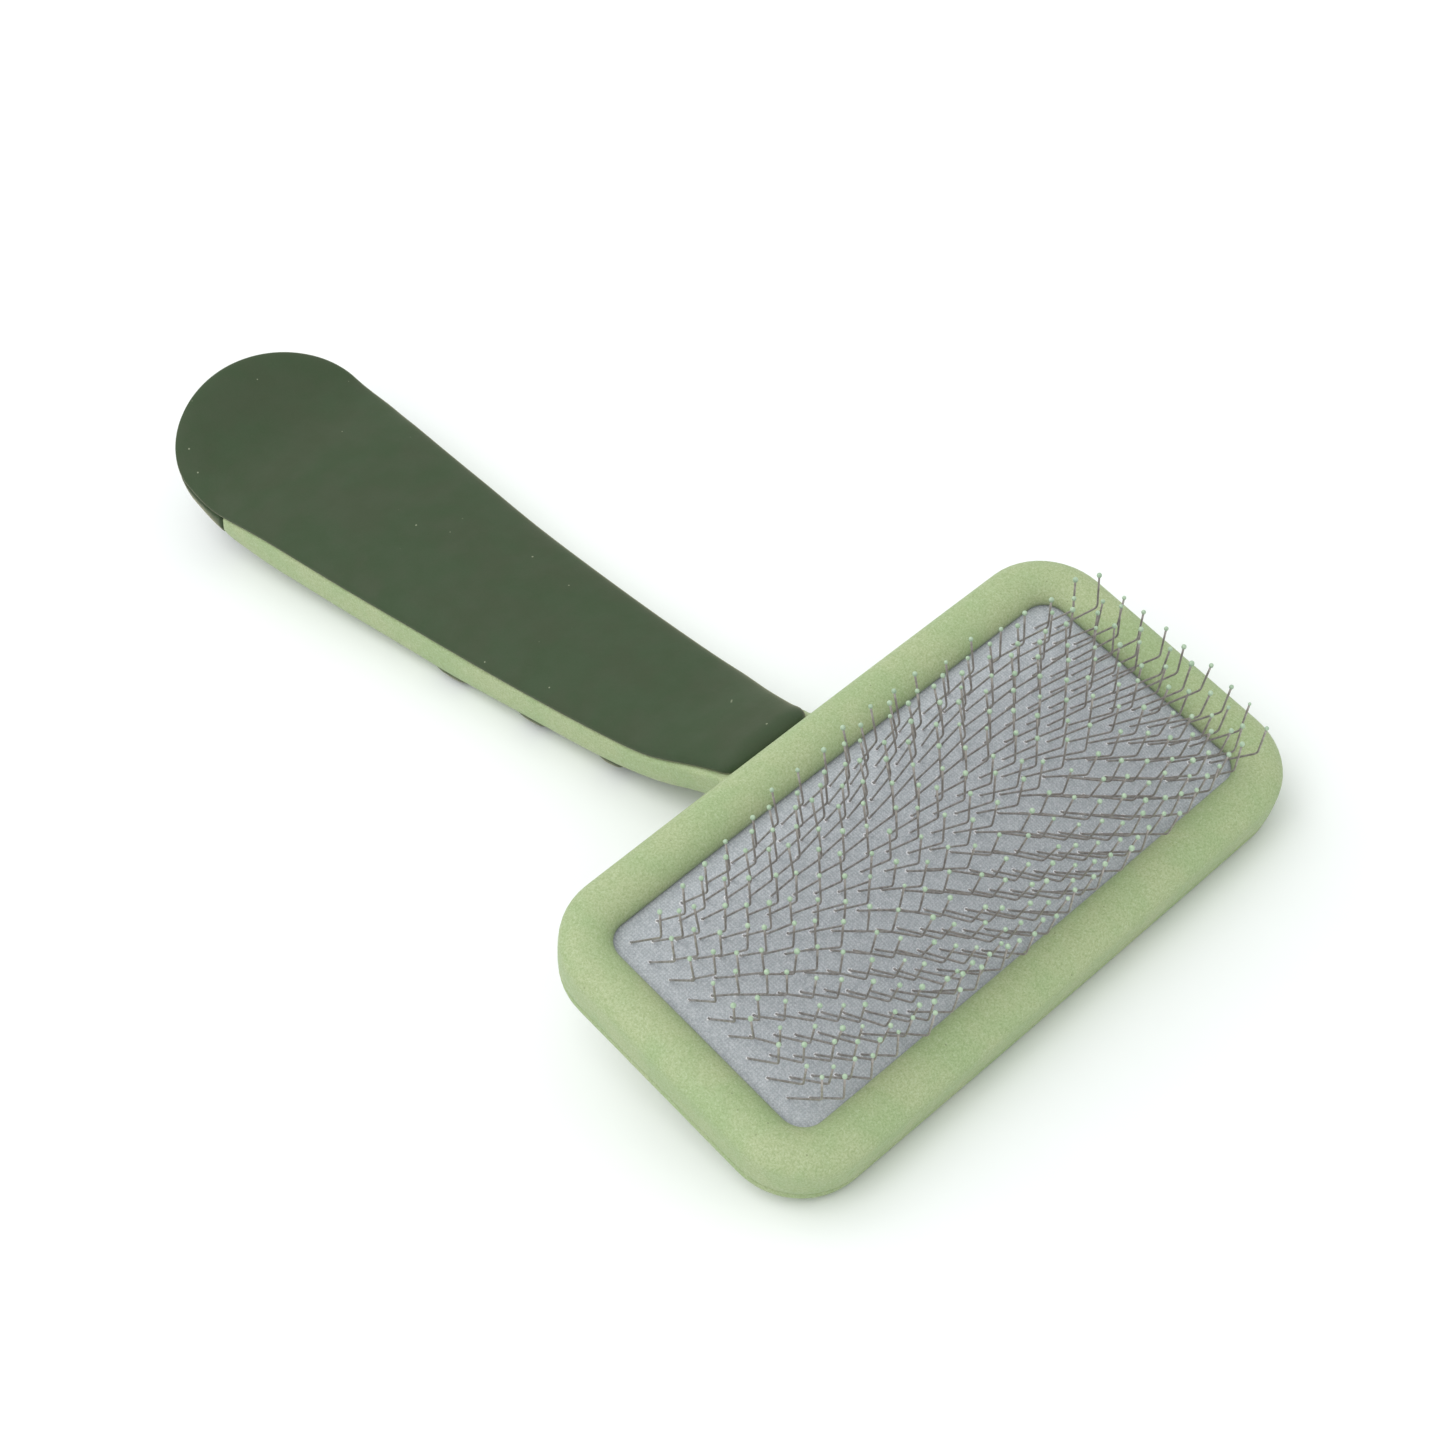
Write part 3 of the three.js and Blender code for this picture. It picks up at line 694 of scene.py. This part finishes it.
def pins(wire_material, ball_material, foot_highlight_material):
    """Every wire with its ball tip, one piece per row, and the rings of painted highlight at their feet.
    """
    balls = bmesh.new()
    foot_highlights = bmesh.new()
    head_turn = HEAD.to_3x3()
    for row in range(ROW_COUNT):
        wires = bmesh.new()
        for y in pin_ys(row):
            foot, knee, tip = wire_path(row_x(row), y)
            path = rounded_path(foot, knee, tip)
            add_mesh(wires, *tube(path, WIRE_RADIUS, WIRE_SIDES), HEAD)
            size = BALL_RADIUS * (1 + rng.gauss(0, BALL_FAULT))
            out = (tip - knee).normalized()
            add_ball(balls, tip + out * BALL_OFFSET, size, head_turn @ out)
            # a ring at the foot, painted as the highlight where the wire leaves the cloth
            add_mesh(foot_highlights, *highlight_ring(foot), HEAD)
        number = f"{row + 1:02d}"
        made = object_from(f"wires_row_{number}", wires)
        finish_piece(made, wire_material, [f"pin_row_{number}"])
    finish_piece(object_from("tip_balls", balls), ball_material)
    finish_piece(object_from("foot_highlights", foot_highlights), foot_highlight_material)


# ---------------------------------------------------------------- handle

TAIL_STEPS = 26
TAIL_START = 0.02  # the tail's first station lies this share of the way round from its tip
STATION_SPACING = 2.2
WALL_SHARES = (0, 0.35, 0.7)  # rings of the side wall, as shares of the way down to the rounding
BACK_STEPS = 12
SEAM_GAP = 0.1  # plastic and front grip each stand this far off the seam
PARTING_GAP = 0.15  # between bezel and back shell
SHELL_TOP = PARTING - PARTING_GAP
CUP_GAP = 0.25  # from the seam down to the tail cup
PLASTIC_BACK_OFF = 0.15  # from the slanted seam of the tail cup to the plastic
CUP_BACK_OFF = 0.1  # and to the cup
BEZEL_ROOM = 0.6  # room in the neck beside the bezel
BEYOND = 60  # cutting tools reach this far, past all of the brush that they meet
SHELL_VOXEL = 0.5
SHELL_SMOOTHING = 6
GRIP_VOXEL = 0.42
GRIP_SMOOTHING = 4
RIB_STEPS = 14
RIB_START = 0.3  # share of the quarter turn up the back's rounded edge that the ribs leave free
RIB_ROOT = 1.2  # how deep the ribs reach under the handle's skin
RIB_DIVE = 0.15  # how far their outer face dives under it at their edges
RIB_RISE = 2.2  # they stand fully proud at 1 / RIB_RISE of the way from their ends to the flat back
GRIP_EDGE = 0.35  # height of the front grip's edge over the seam
GRIP_UNDERSIDE = (1.5, 0.12)  # insets of the rings under its edge
GRIP_SIDES_END = 1.5  # the stations of its sides stop this far short of its end's
GRIP_END_STEPS = 12
GRIP_END_SWEEP = 0.96  # share of a quarter turn that the grip's square end takes
# Shares by which the rings of its face are drawn in, closest together at the rolled edge
GRIP_RINGS = [0.0, 0.004, 0.012, 0.03, 0.055, 0.09, 0.13, 0.18, 0.24, 0.31, 0.39, 0.48, 0.58, 0.69, 0.8,
              0.92]


def tail_stations():
    """Stations round the tail: place, half width, and the focus and reach they are drawn in by."""
    stations = []
    for i in range(TAIL_STEPS):
        angle = (TAIL_START + (1 - TAIL_START) * i / TAIL_STEPS) * math.pi / 2
        x = TAIL_FOCUS - TAIL_LENGTH * math.cos(angle) ** (2 / TAIL_POWER)
        y = TAIL_HALF_WIDTH * math.sin(angle) ** (2 / TAIL_POWER)
        stations.append((x, y, TAIL_FOCUS, TAIL_HALF_WIDTH))
    return stations


def side_stations(end):
    """Stations along the handle's sides, each drawn in straight towards the middle line."""
    count = max(round((end - TAIL_FOCUS) / STATION_SPACING), 1)
    xs = [TAIL_FOCUS + (end - TAIL_FOCUS) * i / count for i in range(count + 1)]
    return [(x, half_width_at(x), x, half_width_at(x)) for x in xs]


def mirrored(side):
    """A line along one side of the handle and back along the other."""
    return side + [Vector((p.x, -p.y, p.z)) for p in reversed(side)]


def plan_ring(stations, inset, level_at):
    """The handle's plan drawn in, towards the tail's focus or the middle line, at a level along X."""
    side = []
    for x, y, focus, reach in stations:
        scale = 1 - inset(reach) / reach
        drawn_x = focus + (x - focus) * scale
        side.append(Vector((drawn_x, y * scale, level_at(drawn_x))))
    return mirrored(side)


def lower_handle(name, gap):
    """The handle below the seam, less a gap, as one closed solid with a rounded back."""
    stations = tail_stations() + side_stations(NECK_END)
    rings = []
    for share in WALL_SHARES:
        rings.append(plan_ring(stations, lambda reach: 0, lambda x: seam_at(x) - gap * (1 - share)
                               + (underside_at(x) + rounding_at(x) - seam_at(x)) * share))
    for step in range(BACK_STEPS + 1):
        angle = (step / BACK_STEPS) * math.pi / 2
        inset = BACK_ROUNDING * (1 - math.cos(angle))
        rings.append(plan_ring(stations, lambda reach: inset,
                               lambda x: underside_at(x) + rounding_at(x) * (1 - math.sin(angle))))
    points, faces = loft(rings, cap="ladder")
    return as_object(name, points, faces, HANDLE)


def block(low, high, place):
    """A plain cutting block."""
    (x0, y0, z0), (x1, y1, z1) = low, high
    plan = ((x0, y0), (x1, y0), (x1, y1), (x0, y1))
    points = [Vector((x, y, z)) for z in (z0, z1) for x, y in plan]
    faces = [(3, 2, 1, 0), (4, 5, 6, 7), (0, 1, 5, 4), (1, 2, 6, 5), (2, 3, 7, 6), (3, 0, 4, 7)]
    return as_object("cutter", points, faces, place)


def tail_block(shift):
    """Everything on the tail's side of the slanted seam."""
    lean = Matrix.Identity(4)
    lean[0][2] = -SEAM_LEAN
    place = HANDLE @ Matrix.Translation((SEAM_X + shift, 0, seam_at(SEAM_X))) @ lean
    return block((-BEYOND, -BEYOND, -BEYOND), (0, BEYOND, BEYOND), place)


def bezel_block():
    """The room of the bezel and of all above it."""
    return block((-HEAD_WIDTH / 2 - BEZEL_ROOM, -BEYOND, SHELL_TOP), (BEYOND, BEYOND, BEYOND), HEAD)


def head_back():
    """Rounded back of the head, up to the parting line."""
    profile = [(3, SHELL_TOP), (0.5, SHELL_TOP), (0.15, -5.6), (0.12, -6.2), (0.3, -6.9), (0.7, -7.6),
               (1.3, -8.2), (2.2, -8.75), (3.4, -9.1), (5, -9.35), (7.5, -9.5), (10, -9.6)]
    points, faces = loft([head_ring(inset, level) for inset, level in profile], cap="fan")
    return as_object("head_back", points, faces, HEAD)


def handle_shell(material):
    """Back of the head, neck and core of the handle, moulded in one piece."""
    core = lower_handle("handle_shell", SEAM_GAP)
    cut(core, tail_block(PLASTIC_BACK_OFF), "DIFFERENCE")
    cut(core, bezel_block(), "DIFFERENCE")
    fuse(core, [head_back()], SHELL_VOXEL, SHELL_SMOOTHING)
    return finish_piece(core, material, ["handle_body"])


def rib(x, length):
    """One rib: a low, rounded band round the handle's back."""
    rings = []
    for step in range(RIB_STEPS + 1):
        t = 2 * step / RIB_STEPS - 1
        at = x + t * length / 2
        proud = RIB_HEIGHT * (1 - abs(t) ** 3.5) ** 0.6 - RIB_DIVE * abs(t) ** 8
        rings.append(rib_section(at, proud) + rib_section(at, -RIB_ROOT)[::-1])
    points, faces = loft(rings, cap="ladder")
    return as_object("rib", points, faces, HANDLE)


def rib_section(x, grown):
    """Line round the handle's back at X, a little outside it; it dives under the skin up the sides."""
    side = []
    for step in range(RIB_STEPS + 1):
        angle = (RIB_START + (1 - RIB_START) * step / RIB_STEPS) * math.pi / 2
        out = grown
        if grown > 0:
            share = clamped(RIB_RISE * step / RIB_STEPS)
            out = grown * share - RIB_DIVE * (1 - share)
        width = half_width_at(x) - BACK_ROUNDING + (BACK_ROUNDING + out) * math.cos(angle)
        level = underside_at(x) + BACK_ROUNDING - (BACK_ROUNDING + out) * math.sin(angle)
        side.append(Vector((x, width, level)))
    side.append(Vector((x, (half_width_at(x) - BACK_ROUNDING) / 2, underside_at(x) - grown)))
    return mirrored(side)


def back_panel():
    """Panel along the handle's back, from deep in the plastic to just proud of it, its edge rolled."""
    stations = tail_stations() + side_stations(PANEL_END)
    profile = [(0, 1.8), (0, 0.15), (0.1, -0.08), (0.35, -0.2), (1.5, -0.25)]
    rings = [plan_ring(stations, lambda reach: PANEL_MARGIN + drawn, lambda x: underside_at(x) + offset)
             for drawn, offset in profile]
    points, faces = loft(rings, cap="ladder")
    return as_object("panel", points, faces, HANDLE)


def back_grip(material):
    """Soft grip of the handle's back: tail cup, panel and ribs, moulded in one piece."""
    cup = lower_handle("back_soft_grip", CUP_GAP)
    cut(cup, tail_block(-CUP_BACK_OFF), "INTERSECT")
    ribs = [rib(x, length) for x, length in RIBS]
    fuse(cup, [back_panel()] + ribs, GRIP_VOXEL, GRIP_SMOOTHING)
    return finish_piece(cup, material, ["back_grip"])


def grip_stations():
    """Plan of the front grip, which narrows towards its rounded square end at the neck."""
    focus = GRIP_END - GRIP_END_ROUNDING

    def width_at(x):
        return half_width_at(x) - GRIP_END_MARGIN * clamped((x - GRIP_NARROWS) / (focus - GRIP_NARROWS))

    sides = [(x, width_at(x), x, width_at(x)) for x, *_ in side_stations(focus - GRIP_SIDES_END)]
    width = width_at(focus)
    end = []
    for step in range(GRIP_END_STEPS + 1):
        angle = step / GRIP_END_STEPS * math.pi / 2 * GRIP_END_SWEEP
        along = focus + GRIP_END_ROUNDING * math.sin(angle) ** 0.7
        end.append((along, width * math.cos(angle) ** 0.5, focus, width))
    return tail_stations() + sides + end


def front_grip(material):
    """Soft grip over the whole front of the handle, softly crowned, its edge rolled."""
    stations = grip_stations()
    rings = [plan_ring(stations, lambda reach: drawn, lambda x: seam_at(x) + SEAM_GAP)
             for drawn in GRIP_UNDERSIDE]
    for share in GRIP_RINGS:
        fullness = (1 - (1 - share) ** CROWN_POWER) ** (1 / CROWN_POWER)
        height = GRIP_EDGE + (GRIP_CROWN - GRIP_EDGE) * fullness
        rings.append(plan_ring(stations, lambda reach: share * reach, lambda x: seam_at(x) + height))
    points, faces = loft(rings, cap="ladder")
    made = as_object("front_soft_grip", points, faces, HANDLE)
    return finish_piece(made, material, ["front_grip"])


# ---------------------------------------------------------------- stage, light and camera

CAMERA_TARGET = HEAD_CENTRE + Vector((-28.703, -11.935, 17.457))
CAMERA_DISTANCE = 430.007
CAMERA_AZIMUTH = math.radians(54.607)
CAMERA_ELEVATION = math.radians(43.362)
CAMERA_ROLL = math.radians(-10.867)
CAMERA_LENS = 73.542
CAMERA_SENSOR = 36

FLOOR_REACH = 3000
LIGHT_DISTANCE = 1200
SKY_COLOUR = (0.97, 1.0, 0.99, 1)
SKY_STRENGTH = 0.88


def floor():
    """A wide pale floor at the table's level."""
    corners = ((-1, -1), (1, -1), (1, 1), (-1, 1))
    points = [Vector((x * FLOOR_REACH, y * FLOOR_REACH, 0)) for x, y in corners]
    made = as_object("floor", points, [(0, 1, 2, 3)])
    made.data.materials.append(pale_floor())


def direction(azimuth, elevation):
    """Unit vector from the brush towards a viewpoint."""
    level = math.cos(elevation)
    return Vector((math.sin(azimuth) * level, -math.cos(azimuth) * level, math.sin(elevation)))


def softbox(name, azimuth, elevation, size, energy):
    """A round area light that looks at the brush from one direction, given in degrees."""
    light = bpy.data.lights.new(name, "AREA")
    light.shape = "DISK"
    light.size = size
    light.energy = energy
    made = bpy.data.objects.new(name, light)
    back = direction(math.radians(azimuth), math.radians(elevation))
    made.location = back * LIGHT_DISTANCE * MM
    made.rotation_euler = back.to_track_quat("Z", "Y").to_euler()
    bpy.context.scene.collection.objects.link(made)


def studio():
    """Even light all round, a softbox high on the -Y side and a weaker one beyond the handle."""
    world = bpy.data.worlds.new("studio")
    world.use_nodes = True
    sky = world.node_tree.nodes["Background"]
    sky.inputs["Color"].default_value = SKY_COLOUR
    sky.inputs["Strength"].default_value = SKY_STRENGTH
    bpy.context.scene.world = world
    softbox("key", azimuth=20, elevation=62, size=1.0, energy=4.8)
    softbox("fill", azimuth=-75, elevation=48, size=1.2, energy=3)


def camera():
    """The camera, which looks down on the brush from beyond the head, on the -Y side."""
    data = bpy.data.cameras.new("camera")
    data.lens = CAMERA_LENS
    data.sensor_width = CAMERA_SENSOR
    data.clip_start = 0.01
    made = bpy.data.objects.new("camera", data)
    back = direction(CAMERA_AZIMUTH, CAMERA_ELEVATION)
    right = Vector((math.cos(CAMERA_AZIMUTH), math.sin(CAMERA_AZIMUTH), 0))
    up = back.cross(right)
    turn = Matrix((right, up, back)).transposed() @ Matrix.Rotation(CAMERA_ROLL, 3, "Z")
    made.matrix_world = Matrix.Translation((CAMERA_TARGET + back * CAMERA_DISTANCE) * MM) @ turn.to_4x4()
    bpy.context.scene.collection.objects.link(made)
    bpy.context.scene.camera = made


# ---------------------------------------------------------------- the brush

plastic = green_plastic()
rubber = soft_grip()
foam(pad_foam())
cloth(pad_cloth())
bezel(plastic)
handle_shell(plastic)
back_grip(rubber)
front_grip(rubber)
pins(pin_wire(), tip_ball(), foot_highlight())

floor()
studio()
camera()
bpy.context.scene.view_settings.view_transform = "Standard"
